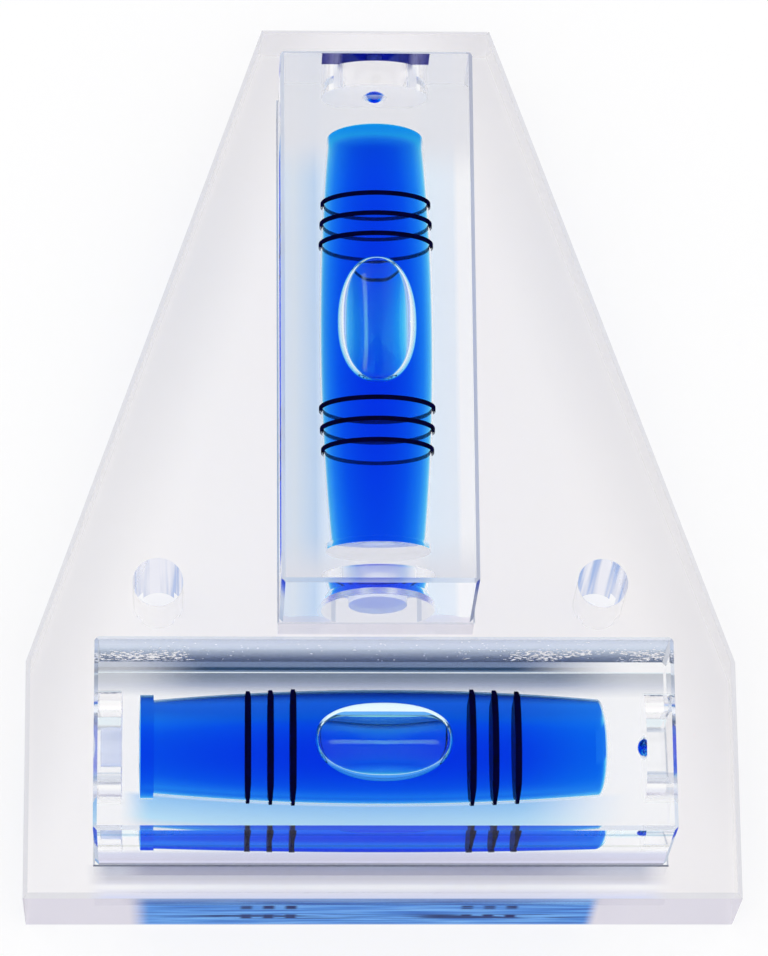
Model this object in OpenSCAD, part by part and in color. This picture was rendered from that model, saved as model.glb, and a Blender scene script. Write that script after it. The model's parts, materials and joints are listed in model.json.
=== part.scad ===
// T-shaped bubble level: a clear tapered plate with two square block vials
// bonded into pockets, one across its foot and one up its middle.
// Lengths are millimetres. The level lies on its back: Z = 0 is the back of
// the plate, +Y points from its foot to its top, and X = Y = 0 is its middle.

/* [Plate] */
// Plate beside each end of the horizontal vial
side_rim = 3.75; // [2:0.25:8]
// Plate between the foot and the horizontal vial
foot_rim = 1.7; // [1:0.1:4]
// Plate between the two vials
vial_gap = 2.85; // [1:0.05:6]
// Plate between the vertical vial and the top
top_rim = 4.25; // [2:0.25:8]
// Plate beside the vertical vial, measured at the top edge
top_side_rim = 1.1; // [0.6:0.1:5]
// Height of the straight sides above the horizontal vial
shoulder_rise = 0.8; // [0.4:0.1:4]
// Plate left under a pocket
pocket_floor = 2.9; // [1.5:0.1:6]
// Bevel on the outer edges of the plate
plate_bevel = 0.25; // [0.1:0.05:0.5]

/* [Fixing holes] */
// Diameter of a fixing hole
hole_d = 2.6; // [1.5:0.1:4]
// Distance from the side of a vertical vial in the middle to a hole's centre
hole_offset = 6.5; // [4:0.25:8]
// Height of the holes above the horizontal vial
hole_rise = 5; // [3:0.25:8]

/* [Vial block] */
// Side of the square block
vial_w = 10; // [9:0.25:14]
// Length of the block
vial_len = 29; // [28:0.5:40]
// Bevel on the edges of the block
vial_bevel = 0.2; // [0.05:0.05:0.4]
// Depth to which a block sinks below the face of the plate
vial_seat = 3; // [1:0.25:6]
// Place of the horizontal vial to the right of the plate's middle
horizontal_shift = -0.1; // [-0.5:0.05:0.5]
// Place of the vertical vial to the right of the plate's middle
vertical_shift = -0.25; // [-0.5:0.05:0.5]
// Adhesive round and under a block
glue_t = 0.1; // [0.05:0.05:0.3]

/* [Bore] */
// Diameter of the barrel-shaped bore at its middle
barrel_d = 5.95; // [5.4:0.05:7]
// Diameter of the bore at its closed end
barrel_end_d = 4.9; // [4.2:0.1:5.2]
// Distance that the horizontal vial's bore lies above its block's middle
horizontal_bore_shift = 0.12; // [-0.3:0.01:0.3]
// Web between the bore and the recess at the closed end
end_web = 1.75; // [1:0.05:3]
// Bulge of the bore's closed end
end_dome = 0.45; // [0.1:0.05:0.6]
// Diameter of the moulded recess at the closed end
end_recess_d = 5.6; // [4:0.1:7]
// Depth of the recesses in both ends of the block
recess_depth = 1.35; // [0.8:0.05:2]
// Diameter of the round dimple in the closed end's recess
dimple_d = 1.3; // [0.8:0.1:2]
// Depth of that dimple
dimple_depth = 0.35; // [0.1:0.05:0.5]

/* [Filling plug] */
// Diameter of the bore that the plug seats in
seat_d = 5.4; // [5:0.1:6]
// Thickness of the plug's disc
plug_t = 0.85; // [0.5:0.05:1.5]
// Length of seat left between the plug and the barrel
seat_step = 0.75; // [0.3:0.05:1.2]
// Diameter of the recess round the plug's pip
plug_recess_d = 5.8; // [5.6:0.1:7]
// Diameter of the plug's pip
pip_d = 3; // [1.5:0.1:4]
// Height of the pip
pip_h = 1.05; // [0.4:0.05:1.2]

/* [Bubble and rings] */
// Length of the bubble
bubble_len = 6.9; // [5:0.1:8]
// Width of the bubble
bubble_w = 4.15; // [3:0.05:4.4]
// Height of the bubble
bubble_h = 2.4; // [1.6:0.1:3]
// Height that the top of the bore presses off the bubble
bubble_flat = 0.3; // [0.1:0.05:0.6]
// Distance from the vertical vial's middle to where its bubble rests
vertical_rest = 0.45; // [-1:0.05:1]
// Distance from the tip of a bubble in the middle to the first ring
ring_clear = 1.05; // [0.4:0.05:2]
// Distance from the horizontal vial's middle to the middle of its rings
horizontal_ring_shift = -0.05; // [-0.5:0.05:0.5]
// Distance from the vertical vial's middle to the middle of its rings
vertical_ring_shift = 0.35; // [-0.5:0.05:0.5]
// Distance between neighbouring rings
ring_pitch = 1.135; // [0.6:0.005:1.5]
// Width of a ring
ring_w = 0.36; // [0.15:0.01:0.5]
// Depth of the groove that a ring fills
ring_depth = 0.12; // [0.08:0.01:0.4]

/* [Fits] */
// Gap round pieces that are set into the bore
fit_gap = 0.02; // [0.01:0.01:0.05]
// Gap between the bubble and what it moves past
bubble_gap = 0.08; // [0.06:0.01:0.15]

/* [Hidden] */
$fn = 96;
ring_count = 6;
vials = ["horizontal", "vertical"];

cut = 1;             // overshoot of a cutter past the face it opens
arc_fn = 1440;       // sides of the long shallow arc of the barrel
clear = [0.92, 0.94, 0.97, 0.35];
blue = [0.0, 0.22, 0.88, 0.75];

// Plate outline, from the vials that it carries
plate_w = vial_len + 2 * side_rim;
plate_h = foot_rim + vial_w + vial_gap + vial_len + top_rim;
plate_top_w = vial_w + 2 * top_side_rim;
plate_side_h = foot_rim + vial_w + shoulder_rise;
pocket_depth = vial_seat + glue_t;
plate_t = pocket_floor + pocket_depth;
foot_y = -plate_h / 2;
top_y = plate_h / 2;
shoulder_y = foot_y + plate_side_h;
outline = [
    [-plate_w / 2, foot_y], [plate_w / 2, foot_y], [plate_w / 2, shoulder_y],
    [plate_top_w / 2, top_y], [-plate_top_w / 2, top_y], [-plate_w / 2, shoulder_y]];
hole_x = vial_w / 2 + hole_offset;
hole_y = foot_y + foot_rim + vial_w + hole_rise;

// Centres of the two vials
vial_z = plate_t - vial_seat + vial_w / 2;
horizontal_y = foot_y + foot_rim + vial_w / 2;
vertical_y = foot_y + foot_rim + vial_w + vial_gap + vial_len / 2;

// Stations along a vial, counted from its middle, with the plug at the low end
closed_x = vial_len / 2 - recess_depth - end_web;
plug_face_x = recess_depth - vial_len / 2;
plug_inner_x = plug_face_x + plug_t;
barrel_start_x = plug_inner_x + seat_step;

// The bore's wall is an arc whose sagitta is the difference of its radii
barrel_r = barrel_d / 2;
barrel_sag = (barrel_d - barrel_end_d) / 2;
arc_r = (closed_x * closed_x + barrel_sag * barrel_sag) / (2 * barrel_sag);
function bore_r(x) = sqrt(arc_r * arc_r - x * x) - arc_r + barrel_r;

// The closed end is part of a ball on the vial's axis
dome_r = (barrel_end_d * barrel_end_d / 4 + end_dome * end_dome) / (2 * end_dome);

// The bubble's cap is as round as the narrow end, so that it passes all along
cap_r = barrel_end_d / 2 - fit_gap;
cap_z = barrel_r - bubble_gap - cap_r;
bubble_z = barrel_r - bubble_gap + (bubble_flat - bubble_h) / 2;
function bubble_rest(v) = v == "vertical" ? vertical_rest : 0;

// Ring stations run from the plug's end to the closed end
ring_half = ring_count / 2;
ring_first = bubble_len / 2 + ring_clear;
function ring_shift(v) = v == "vertical" ? vertical_ring_shift : horizontal_ring_shift;
function ring_x(v, k) = ring_shift(v) + (k <= ring_half
    ? -ring_first - (ring_half - k) * ring_pitch
    : ring_first + (k - ring_half - 1) * ring_pitch);

// Puts a vial, made along X about its own centre, in its place in the plate
module at_vial(v) {
    if (v == "horizontal")
        translate([horizontal_shift, horizontal_y, vial_z]) children();
    else
        translate([vertical_shift, vertical_y, vial_z]) rotate([0, 0, 90]) children();
}

// Moves from a block's middle to the axis of its bore
module on_axis(v) {
    translate([0, v == "horizontal" ? horizontal_bore_shift : 0, 0]) children();
}

// Turns a revolved or extruded shape from Z to the vial's axis
module along_x(x) {
    translate([x, 0, 0]) rotate([0, 90, 0]) children();
}

// A square bar on edge: centred on a sharp edge, it cuts a bevel with legs b
module bevel_bar(length, b) {
    rotate([45, 0, 0]) cube([length, b * sqrt(2), b * sqrt(2)], center = true);
}

// A box about its own centre with all twelve edges bevelled
module bevelled_box(size, b) {
    turns = [[0, 0, 0], [0, 0, 90], [0, 90, 0]];
    spans = [[0, 1, 2], [1, 0, 2], [2, 0, 1]];
    difference() {
        cube(size, center = true);
        for (i = [0 : 2], s = [-1, 1], t = [-1, 1]) {
            along = spans[i][0];
            place = [for (a = [0 : 2]) a == along ? 0 : (a == spans[i][1] ? s : t) * size[a] / 2];
            translate(place) rotate(turns[i]) bevel_bar(size[along] + 2 * cut, b);
        }
    }
}

// The barrel-shaped bore from x0 to the bulge at x1, drawn in by gap all round
module barrel(x0, x1, gap) {
    rotate([0, 90, 0]) rotate_extrude() intersection() {
        translate([barrel_r - arc_r, 0]) circle(arc_r - gap, $fn = arc_fn);
        translate([0, x0]) square([barrel_d, x1 - x0]);
        union() {
            translate([0, x1 - dome_r]) circle(dome_r, $fn = arc_fn);
            translate([0, x0 - dome_r]) square([barrel_d, x1 - x0]);
        }
    }
}

// Moves what is drawn at a vial's middle along the arc to its bubble's place
module at_rest(v) {
    pivot = arc_r - barrel_r;
    translate([0, 0, -pivot]) rotate([0, bubble_rest(v) / arc_r * 180 / PI, 0]) translate([0, 0, pivot]) children();
}

// The round-sided body of the bubble, grown by gap
module bubble_body(gap) {
    d = bubble_w + 2 * gap;
    translate([0, 0, bubble_z])
        scale([(bubble_len + 2 * gap) / d, 1, (bubble_h + bubble_flat + 2 * gap) / d]) sphere(d = d);
}

// The slab that lies inside all six bevelled edges of the outline
module plate_slab() {
    reach = plate_w + plate_h;
    half_t = plate_t / 2;
    edge_profile = [
        [0, plate_bevel - half_t], [plate_bevel, -half_t], [reach, -half_t],
        [reach, half_t], [plate_bevel, half_t], [0, half_t - plate_bevel]];
    intersection_for (i = [0 : len(outline) - 1]) {
        p = outline[i];
        q = outline[(i + 1) % len(outline)];
        translate([(p.x + q.x) / 2, (p.y + q.y) / 2, half_t])
            rotate([90, 0, 90 + atan2(q.y - p.y, q.x - p.x)])
                linear_extrude(2 * reach, center = true) polygon(edge_profile);
    }
}

module base_plate() {
    color(clear) difference() {
        plate_slab();
        for (v = vials) at_vial(v) pocket();
        for (s = [-1, 1]) translate([s * hole_x, hole_y, -cut]) cylinder(h = plate_t + 2 * cut, d = hole_d);
    }
}

// The pocket for a vial and its adhesive, open at the face of the plate
module pocket() {
    depth = pocket_depth + cut;
    translate([0, 0, -vial_w / 2 - glue_t + depth / 2])
        cube([vial_len + 2 * glue_t, vial_w + 2 * glue_t, depth], center = true);
}

// A tray of adhesive that lines the pocket up to the face of the plate
module adhesive() {
    color([0.95, 0.96, 0.98, 0.3]) difference() {
        translate([0, 0, -vial_w / 2 - glue_t + pocket_depth / 2])
            cube([vial_len + 2 * glue_t, vial_w + 2 * glue_t, pocket_depth], center = true);
        cube([vial_len, vial_w, vial_w], center = true);
    }
}

module vial_block(v) {
    color(clear) difference() {
        bevelled_box([vial_len, vial_w, vial_w], vial_bevel);
        on_axis(v) barrel(barrel_start_x, closed_x, 0);
        on_axis(v) along_x(-vial_len / 2 - cut) cylinder(h = barrel_start_x + vial_len / 2 + cut, d = seat_d);
        on_axis(v) along_x(-vial_len / 2 - cut) cylinder(h = recess_depth + cut, d = plug_recess_d);
        on_axis(v) along_x(vial_len / 2 - recess_depth) cylinder(h = recess_depth + cut, d = end_recess_d);
        on_axis(v) dimple();
        for (k = [1 : ring_count])
            on_axis(v) along_x(ring_x(v, k) - ring_w / 2)
                cylinder(h = ring_w, r = bore_r(ring_x(v, k)) + ring_depth);
    }
}

// The round dimple in the floor of the closed end's recess
module dimple() {
    dimple_r = (dimple_d * dimple_d / 4 + dimple_depth * dimple_depth) / (2 * dimple_depth);
    translate([vial_len / 2 - recess_depth - dimple_depth + dimple_r, 0, 0]) sphere(dimple_r);
}

// A disc with a pip on its outer face and a bevelled inner rim
module vial_plug() {
    r = seat_d / 2 - fit_gap;
    lead = plug_t / 4;
    color(clear) along_x(plug_face_x) rotate_extrude() polygon([
        [0, -pip_h], [pip_d / 2, -pip_h], [pip_d / 2, 0], [r, 0],
        [r, plug_t - lead], [r - lead, plug_t], [0, plug_t]]);
}

// The liquid fills the bore and the step behind the plug, round the bubble
module liquid(v) {
    color(blue) difference() {
        union() {
            barrel(plug_inner_x + fit_gap, closed_x - fit_gap, fit_gap);
            along_x(plug_inner_x + fit_gap) cylinder(h = seat_step - 2 * fit_gap, r = seat_d / 2 - fit_gap);
        }
        at_rest(v) bubble_body(bubble_gap);
    }
}

// A rounded body pressed under the top of the bore
module bubble(v) {
    color([0.8, 0.92, 1, 0.4]) at_rest(v) intersection() {
        bubble_body(0);
        translate([0, 0, cap_z]) along_x(-bubble_len) cylinder(h = 2 * bubble_len, r = cap_r);
    }
}

// A black inlay flush with the wall of the bore
module ring(v, k) {
    x = ring_x(v, k);
    color([0.02, 0.02, 0.06]) along_x(x - ring_w / 2 + fit_gap) difference() {
        cylinder(h = ring_w - 2 * fit_gap, r = bore_r(x) + ring_depth - fit_gap);
        translate([0, 0, -cut]) cylinder(h = ring_w + 2 * cut, r = bore_r(abs(x) - ring_w / 2));
    }
}

base_plate();
for (v = vials) {
    at_vial(v) vial_block(v);
    at_vial(v) on_axis(v) vial_plug();
    at_vial(v) on_axis(v) liquid(v);
    at_vial(v) on_axis(v) bubble(v);
    at_vial(v) adhesive();
    for (k = [1 : ring_count])
        at_vial(v) on_axis(v) ring(v, k);
}
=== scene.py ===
# %% [markdown]
# # A clear T-shaped bubble level
# The level is a tapered acrylic plate with two square vials bonded into it. Everything on it is
# transparent, so the picture is made by refraction: what counts is which surfaces meet air, which
# meet liquid and which are glued and so disappear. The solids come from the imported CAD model, and
# this script adds the finishes, the liquid, the bubbles, the glue and the light.

# %% Load the CAD frame
import json
import math
from functools import partial

import bmesh
import bpy
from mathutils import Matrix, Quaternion, Vector

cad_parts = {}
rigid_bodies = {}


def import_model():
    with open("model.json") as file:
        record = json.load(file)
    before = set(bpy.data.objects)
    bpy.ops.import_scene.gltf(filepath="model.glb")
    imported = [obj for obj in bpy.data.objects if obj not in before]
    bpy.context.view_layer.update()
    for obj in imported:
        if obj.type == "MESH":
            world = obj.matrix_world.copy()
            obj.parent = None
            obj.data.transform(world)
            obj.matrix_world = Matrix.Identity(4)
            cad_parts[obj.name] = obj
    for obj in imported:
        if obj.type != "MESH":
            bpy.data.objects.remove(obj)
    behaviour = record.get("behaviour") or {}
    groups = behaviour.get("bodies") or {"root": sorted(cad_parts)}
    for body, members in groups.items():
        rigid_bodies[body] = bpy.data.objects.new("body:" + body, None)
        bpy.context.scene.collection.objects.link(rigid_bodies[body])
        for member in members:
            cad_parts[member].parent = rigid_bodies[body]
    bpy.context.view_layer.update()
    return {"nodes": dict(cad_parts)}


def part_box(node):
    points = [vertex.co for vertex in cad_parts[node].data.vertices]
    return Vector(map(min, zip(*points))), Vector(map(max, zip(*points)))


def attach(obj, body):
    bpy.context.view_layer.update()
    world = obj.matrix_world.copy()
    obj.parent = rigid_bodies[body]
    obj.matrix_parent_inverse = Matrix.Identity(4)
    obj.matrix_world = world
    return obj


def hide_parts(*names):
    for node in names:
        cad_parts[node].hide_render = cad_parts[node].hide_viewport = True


for leftover in list(bpy.data.objects):
    bpy.data.objects.remove(leftover)
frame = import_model()
MM = 0.001
ALONG = {"horizontal": 0, "vertical": 1}  # the axis that each vial lies along: 0 is X and 1 is Y
BOX = {name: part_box(name) for name in frame["nodes"]}
plate_low, plate_high = BOX["base_plate"]
plate_face = plate_high.z


def centre(name):
    low, high = BOX[name]
    return (low + high) / 2


MIDDLE = {}  # on the axis of each bore, halfway along its block
for vial, along in ALONG.items():
    MIDDLE[vial] = centre(vial + "_vial_block")
    MIDDLE[vial][1 - along] = centre(vial + "_liquid")[1 - along]
print("plate", [round(v / MM, 2) for v in plate_high - plate_low], "mm")

# %% [markdown]
# ## The camera
# The photograph looks down on the level from just left of its middle, with a long lens. The camera
# is set by where it looks, how far away it stands, its two angles and its roll, so that each can
# be changed by itself.

# %% Camera
LOOK_AT = Vector((0.214, -1.496, 6.0)) * MM
CAMERA_DISTANCE = 265.4 * MM
CAMERA_AZIMUTH = math.radians(6.6)
CAMERA_ELEVATION = math.radians(71.13)
CAMERA_ROLL = math.radians(6.43)
LENS_MM = 192.2

looking = Vector((
    math.sin(CAMERA_AZIMUTH) * math.cos(CAMERA_ELEVATION),
    math.cos(CAMERA_AZIMUTH) * math.cos(CAMERA_ELEVATION),
    -math.sin(CAMERA_ELEVATION),
))
camera = bpy.data.objects.new("camera", bpy.data.cameras.new("camera"))
bpy.context.scene.collection.objects.link(camera)
camera.data.sensor_width = 36.0
camera.data.lens = LENS_MM
camera.data.clip_start = 0.01
camera.location = LOOK_AT - CAMERA_DISTANCE * looking
camera.rotation_mode = "QUATERNION"
camera.rotation_quaternion = looking.to_track_quat("-Z", "Y") @ Quaternion((0, 0, 1), CAMERA_ROLL)
bpy.context.scene.camera = camera
print("camera at", [round(v / MM, 1) for v in camera.location], "mm")

# %% [markdown]
# ## Helpers for nodes
# A finish is a small tree of nodes. It could be clicked together in the shader editor, but as
# text it can be read and repeated. One helper starts a material, and what the others add then goes
# into the tree of that material: a node with its inputs, or a step of arithmetic.

# %% Nodes
def new_material(name):
    """A material with an empty tree, which is the one that the other helpers then add to."""
    global tree
    material = bpy.data.materials.new(name)
    material.use_nodes = True
    tree = material.node_tree
    tree.nodes.clear()
    return material


def feed(entry, value):
    """Give an input a number, a Vector or a colour, which is a tuple, or link a socket to it."""
    if isinstance(value, tuple):
        entry.default_value = (*value, 1.0)
    elif isinstance(value, (int, float, Vector)):
        entry.default_value = value
    else:
        tree.links.new(value, entry)


def add(kind, inputs=(), **settings):
    """A node with its settings, its inputs fed from {name or number: value}."""
    node = tree.nodes.new(kind)
    for key, value in settings.items():
        setattr(node, key, value)
    for key, value in dict(inputs).items():
        feed(node.inputs[key], value)
    return node


def calc(operation, a, b=0.0):
    """One Math node; a and b are sockets or plain numbers."""
    return add("ShaderNodeMath", {0: a, 1: b}, operation=operation).outputs[0]


def minus(a, b):
    return calc("SUBTRACT", a, b)


def times(a, b):
    return calc("MULTIPLY", a, b)


print("units are metres, and MM is", MM)

# %% [markdown]
# ## Helpers for masks
# A mask is 1 where something holds, such as a glued face, and 0 elsewhere, so masks multiply like
# the word "and". Faces could be picked by hand and given materials of their own, but the CAD meshes
# stay as they are here. So a mask is worked out from the place of the surface in the CAD frame.

# %% Masks
def all_of(*masks):
    result = masks[0]
    for mask in masks[1:]:
        result = times(result, mask)
    return result


def any_of(*masks):
    result = masks[0]
    for mask in masks[1:]:
        result = calc("MAXIMUM", result, mask)
    return result


def place():
    """The three sockets of the surface's place in the CAD frame, in metres."""
    coordinates = add("ShaderNodeTexCoord").outputs["Object"]
    split = add("ShaderNodeSeparateXYZ", {"Vector": coordinates})
    return [split.outputs[axis] for axis in "XYZ"]


def less(a, b):
    return calc("LESS_THAN", a, b)


def more(a, b):
    return calc("GREATER_THAN", a, b)


def between(socket, low, high):
    return all_of(more(socket, low), less(socket, high))


def apart(socket, middle):
    """How far socket is from middle, on either side."""
    return calc("ABSOLUTE", minus(socket, middle))


def within(spots, axes, centre, reach):
    """1 within reach of a line through centre; axes are the two that lie across the line."""
    squares = []
    for axis in axes:
        away = minus(spots[axis], centre[axis])
        squares.append(times(away, away))
    return less(calc("ADD", *squares), reach * reach)


def ease(socket, start, end, low=0.0, high=1.0):
    """A soft step from low at start to high at end."""
    inputs = {"Value": socket, "From Min": start, "From Max": end, "To Min": low, "To Max": high}
    return add("ShaderNodeMapRange", inputs, interpolation_type="SMOOTHSTEP").outputs["Result"]


print("masks use the boxes of", len(BOX), "CAD nodes")

# %% [markdown]
# ## Helpers for colours and shaders
# Most tints here are ramps: a list of places, counted in millimetres from some edge, each with its
# colour. A list is easier to match to a photograph than a formula. Noise makes what is uneven on
# the real object, such as haze and specks, and can be stretched.

# %% Colours and shaders
WHITE = (1, 1, 1)


def colour_steps(socket, origin, unit, stops):
    """A colour ramp; stops are (place, colour), with places counted in units from origin."""
    first = stops[0][0]
    last = stops[-1][0]
    inputs = {"Value": socket, "From Min": origin + first * unit, "From Max": origin + last * unit}
    share = add("ShaderNodeMapRange", inputs)
    ramp = add("ShaderNodeValToRGB", {"Fac": share.outputs["Result"]})
    elements = ramp.color_ramp.elements
    while len(elements) < len(stops):
        elements.new(0.5)
    for element, (spot, colour) in zip(elements, stops):
        element.position = (spot - first) / (last - first)
        element.color = (*colour, 1.0)
    return ramp.outputs["Color"]


def noise(scale, detail):
    """Cloudy noise from 0 to 1; a Vector as its scale stretches it."""
    spot = add("ShaderNodeTexCoord").outputs["Object"]
    if isinstance(scale, Vector):
        spot = add("ShaderNodeMapping", {"Vector": spot, "Scale": scale}).outputs[0]
        scale = 1.0
    inputs = {"Vector": spot, "Scale": scale, "Detail": detail}
    return add("ShaderNodeTexNoise", inputs).outputs["Fac"]


def mix_colour(share, a, b, blend="MIX"):
    """Two colours mixed by share; each is a socket or a plain colour."""
    return add("ShaderNodeMix", {0: share, 6: a, 7: b}, data_type="RGBA", blend_type=blend).outputs[2]


def mix_shader(share, a, b):
    return add("ShaderNodeMixShader", {0: share, 1: a, 2: b}).outputs[0]


def shader(kind, inputs=()):
    """The output of a shader such as Glass."""
    return add("ShaderNodeBsdf" + kind, inputs).outputs[0]


def output(**parts):
    """The end of a tree: its Surface, and its Volume if it has one."""
    add("ShaderNodeOutputMaterial", parts)


print("ramps start from plain white", WHITE)

# %% [markdown]
# ## Where surfaces are glued or wet
# Acrylic and its adhesive bend light almost alike, so a glued face vanishes, and the pocket walls
# must not refract. The wall of a vial's bore is wet: there the liquid's own surface does the
# bending. The back lies flat on the table, so it doesn't mirror either. The boxes of the CAD nodes
# tell where all of these are.

# %% Glued and wet masks
HAIR = 0.012 * MM
RECESS_DEPTH = 1.35 * MM
BORE_REACH = 0.2 * MM


def glued_mask(spots):
    """1 on the walls and floors of the two pockets, and on the back of the plate."""
    masks = [less(spots[2], plate_low.z + HAIR)]
    for vial in ALONG:
        low, high = BOX[vial + "_adhesive"]
        sides = [between(spots[a], low[a] - HAIR, high[a] + HAIR) for a in (0, 1)]
        masks.append(all_of(*sides, between(spots[2], low.z - HAIR, plate_face - HAIR)))
    return any_of(*masks)


def wet_mask(vial, spots, turned_to=None):
    """1 on the wall of the bore and on the plug's seat."""
    along = ALONG[vial]
    across = 1 - along
    liquid_low, liquid_high = BOX[vial + "_liquid"]
    reach = (liquid_high[across] - liquid_low[across]) / 2 + BORE_REACH
    start = BOX[vial + "_vial_block"][0][along] + RECESS_DEPTH + HAIR
    return all_of(within(spots, (across, 2), MIDDLE[vial], reach),
                  between(spots[along], start, liquid_high[along] + 3 * HAIR))


print("pockets are", round((plate_face - BOX["horizontal_adhesive"][0].z) / MM, 2), "mm deep")

# %% [markdown]
# ## Faces and reflections
# What a clear face shows depends on how it is turned. Slanted edges catch the surroundings, and
# from inside a block a face can mirror everything: a Fresnel node that gives nearly 1 marks that.
# Polished acrylic is never perfect, so noise varies its gloss as flow marks and handling do.

# %% Faces and haze
BEVEL_TURN = 0.8
TOTAL_SHARE = 0.98
HAZE_SCALE = 160.0


def facing():
    """The three sockets of the face's own direction, and the mask of inner sides."""
    geometry = add("ShaderNodeNewGeometry")
    split = add("ShaderNodeSeparateXYZ", {"Vector": geometry.outputs["True Normal"]})
    return [calc("ABSOLUTE", split.outputs[axis]) for axis in "XYZ"], geometry.outputs["Backfacing"]


def bevel_mask(turned_to):
    """1 on slanted edges, which face along none of the axes."""
    return less(any_of(*turned_to), BEVEL_TURN)


def total_reflection(ior, least=TOTAL_SHARE):
    """1 where the light can't leave and all of it, or at least a share, is mirrored."""
    return more(add("ShaderNodeFresnel", {"IOR": ior}).outputs["Fac"], least)


def haze(roughness):
    """Roughness that wanders a little over the surface."""
    return ease(noise(HAZE_SCALE, 4.0), 0.35, 0.75, roughness * 0.3, roughness)


print("bevels are turned less than", BEVEL_TURN, "to every axis")

# %% [markdown]
# ## Clear acrylic
# Cast acrylic is colourless with a trace of blue in its edges. A Principled shader with full
# transmission gives the body, and a mask mixes in a Transparent shader where it is glued or wet.
# Upright faces get a share of plain Refraction, which tones down the table's mirror image in them.
# On inner faces a tinted Glass shader can be added, which paints shade into the total reflection
# inside a block, because only that one colours it, and a share of milk makes a moulding that isn't
# quite clear.

# %% Acrylic
ACRYLIC_IOR = 1.49
CALM_SHARE = 0.85
UPRIGHT_TURN = 0.5
MILK_COLOUR = (0.95, 0.95, 1.0)


def acrylic(name, roughness, hidden, tint, frost, mirror_shade=None, milk=0.0):
    """Clear acrylic; hidden, tint, frost and painted mirror shade add to its tree; tint may be a colour.
    """
    material = new_material(name)
    spots = place()
    turned_to, inner = facing()
    gloss = calc("ADD", haze(roughness), frost(spots, turned_to))
    colour = tint if isinstance(tint, tuple) else tint(spots, turned_to)
    body = shader("Principled", {"IOR": ACRYLIC_IOR, "Transmission Weight": 1.0,
                                 "Roughness": gloss, "Base Color": colour})
    calm = shader("Refraction", {"IOR": ACRYLIC_IOR, "Roughness": gloss, "Color": colour})
    upright = all_of(less(turned_to[2], UPRIGHT_TURN), minus(1.0, inner))
    surface = mix_shader(times(upright, CALM_SHARE), body, calm)
    if mirror_shade:
        share, shade = mirror_shade(spots)
        mirror = shader("Glass", {"IOR": ACRYLIC_IOR, "Roughness": gloss, "Color": shade})
        share = all_of(share, inner, total_reflection(ACRYLIC_IOR))
        surface = mix_shader(share, surface, mirror)
    if milk:
        cloudy = shader("Principled", {"Base Color": MILK_COLOUR, "Roughness": 0.5})
        surface = mix_shader(milk, surface, cloudy)
    output(Surface=mix_shader(hidden(spots, turned_to), surface, shader("Transparent")))
    return material


print("acrylic bends light by an index of", ACRYLIC_IOR)

# %% [markdown]
# ## The blue band
# The plate's front edge gathers the blue of the vial behind it: light that has crossed the liquid
# comes out there as a streaky band, with the black rings as short dashes. A path tracer would need
# very many samples to find that light, so the band is drawn as stretched noise, and its ends and
# dashes follow the places of the liquid and the rings.

# %% Blue band
RINGS = {vial: [name for name in BOX if name.startswith(vial + "_ring_")] for vial in ALONG}
BAND_START = BOX["horizontal_liquid"][0].x - 0.1 * MM
BAND_END = BOX["horizontal_liquid"][1].x - 0.55 * MM
BAND_STRETCH = Vector((160.0, 1.0, 2600.0))
BAND_BLUES = [(0.3, (0.015, 0.11, 0.5)), (0.48, (0.06, 0.25, 0.72)), (0.7, (0.2, 0.5, 0.95))]
BAND_PALE = (0.5, 0.68, 0.93)
DASH_NAVY = (0.0002, 0.002, 0.09)
DASH_ROWS = ((3.9, 0.5), (2.0, 0.6))  # height over the table and half the thickness, in mm


def band_colour(spots):
    """The streaky blue of the liquid, as it shows in the front edge."""
    streak = noise(BAND_STRETCH, 3.0)
    blue = colour_steps(streak, 0.0, 1.0, BAND_BLUES)
    pale = any_of(ease(spots[2], 4.6 * MM, 5.9 * MM, 0.0, 0.7),
                  ease(spots[2], 0.7 * MM, 0.1 * MM, 0.0, 0.5))
    blue = mix_colour(pale, blue, BAND_PALE)
    dashes = []
    for name in RINGS["horizontal"]:
        away = apart(spots[0], centre(name).x)
        dashes.append(ease(away, 0.15 * MM, 0.42 * MM, 1.0, 0.0))
    rows = []
    for height, half in DASH_ROWS:
        away = apart(spots[2], height * MM)
        rows.append(ease(away, half * 0.4 * MM, half * MM, 1.0, 0.0))
    broken = ease(streak, 0.42, 0.52, 0.55, 1.0)
    marks = all_of(any_of(*dashes), any_of(*rows), broken)
    by_rings = apart(calc("ABSOLUTE", spots[0]), 5.6 * MM)
    line = all_of(rows[1], ease(streak, 0.46, 0.56, 0.9, 0.0),
                  ease(by_rings, 2.5 * MM, 5.0 * MM, 1.0, 0.2))
    return mix_colour(any_of(marks, line), blue, DASH_NAVY)


print("blue band from", round(BAND_START / MM, 2), "to", round(BAND_END / MM, 2), "mm")

# %% [markdown]
# ## Slanted sides and fixing holes
# The plate gets painted shade, greyer toward its slanted sides, and the walls of its two holes get
# painted reflections, streaks of blue and white. Both are tints by place: the distance from a slanted
# side is worked out from two corners of the outline, and the streaks are noise drawn out along the
# hole.

# %% Slopes and holes
SHOULDER = Vector((18.25, -11.4, 0)) * MM
TOP_CORNER = Vector((6.1, 23.9, 0)) * MM
HOLES = [Vector((x * MM, -7.2 * MM, 0)) for x in (-11.5, 11.5)]
HOLE_RADIUS = 1.3 * MM
HOLE_STRETCH = Vector((2300.0, 2300.0, 60.0))
# painted reflections on the walls of the holes
HOLE_REFLECTION_BLUES = [(0.36, (0.38, 0.5, 0.8)), (0.5, (0.72, 0.75, 0.87)), (0.64, (0.88, 0.88, 0.94))]


def from_slope(spots):
    """The distance from the nearer slanted side, in metres."""
    run = (TOP_CORNER - SHOULDER).normalized()
    across = minus(SHOULDER.x, calc("ABSOLUTE", spots[0]))
    along = minus(spots[1], SHOULDER.y)
    square_on = times(across, run.y)
    return minus(square_on, times(along, -run.x))


def hole_mask(spots):
    """1 on the walls of the two holes."""
    return any_of(*[within(spots, (0, 1), hole, HOLE_RADIUS + HAIR) for hole in HOLES])


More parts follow.
